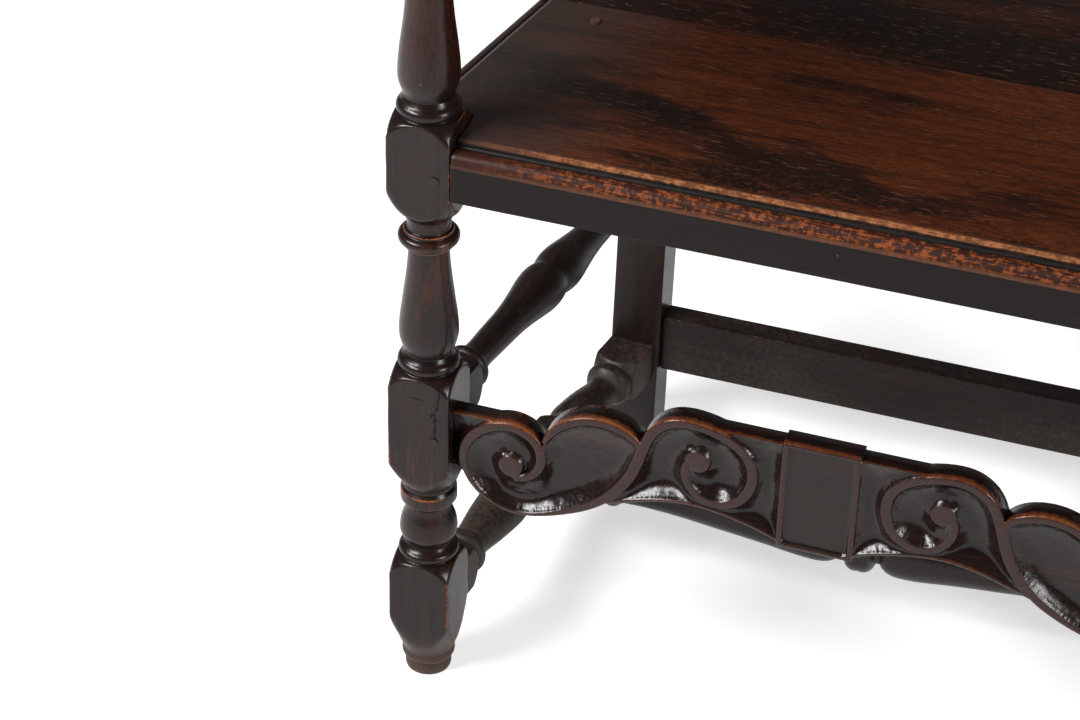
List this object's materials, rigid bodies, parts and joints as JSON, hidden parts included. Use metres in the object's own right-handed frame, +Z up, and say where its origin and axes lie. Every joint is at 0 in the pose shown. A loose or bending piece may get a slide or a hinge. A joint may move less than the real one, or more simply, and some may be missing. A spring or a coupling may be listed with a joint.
{
  "type": "wainscot armchair",
  "caption": "Joined armchair with panelled raked back, turned front posts and stretchers, moulded board seat and a carved scroll front stretcher.",
  "frame": {"origin": "floor level, under the middle of the chair's overall box", "axes": "+X to the right as seen from in front of the chair, +Y from its front to its back, +Z up"},
  "size_m": [0.643, 0.5438, 1.0655],
  "materials": {
    "turned_oak": "waxed and worn dark oak",
    "frame_oak": "waxed and worn dark oak",
    "carved_oak": "waxed and worn dark oak",
    "seat_oak": "waxed and worn dark oak",
    "arm_oak": "waxed and worn dark oak",
    "panel_oak": "waxed and worn dark oak",
    "peg_oak": "waxed and worn dark oak"
  },
  "bodies": {
    "root": {"front_post_left": "turned_oak", "front_post_right": "turned_oak", "upper_side_stretcher_left": "turned_oak", "upper_side_stretcher_right": "turned_oak", "lower_side_stretcher_left": "turned_oak", "lower_side_stretcher_right": "turned_oak", "medial_stretcher": "turned_oak", "rear_post_left": "frame_oak", "rear_post_right": "frame_oak", "front_seat_rail": "frame_oak", "side_seat_rail_left": "frame_oak", "side_seat_rail_right": "frame_oak", "rear_seat_rail": "frame_oak", "seat_batten": "frame_oak", "rear_stretcher": "frame_oak", "back_lower_rail": "frame_oak", "back_top_rail": "frame_oak", "back_muntin": "frame_oak", "carved_front_stretcher": "carved_oak", "back_crest": "carved_oak", "seat_board_front": "seat_oak", "seat_board_rear": "seat_oak", "arm_left": "arm_oak", "arm_right": "arm_oak", "back_panel_left": "panel_oak", "back_panel_right": "panel_oak", "seat_rail_pegs": "peg_oak", "stretcher_pegs": "peg_oak", "back_frame_pegs": "peg_oak", "arm_pegs": "peg_oak", "seat_board_pegs": "peg_oak"}
  },
  "joints": []
}
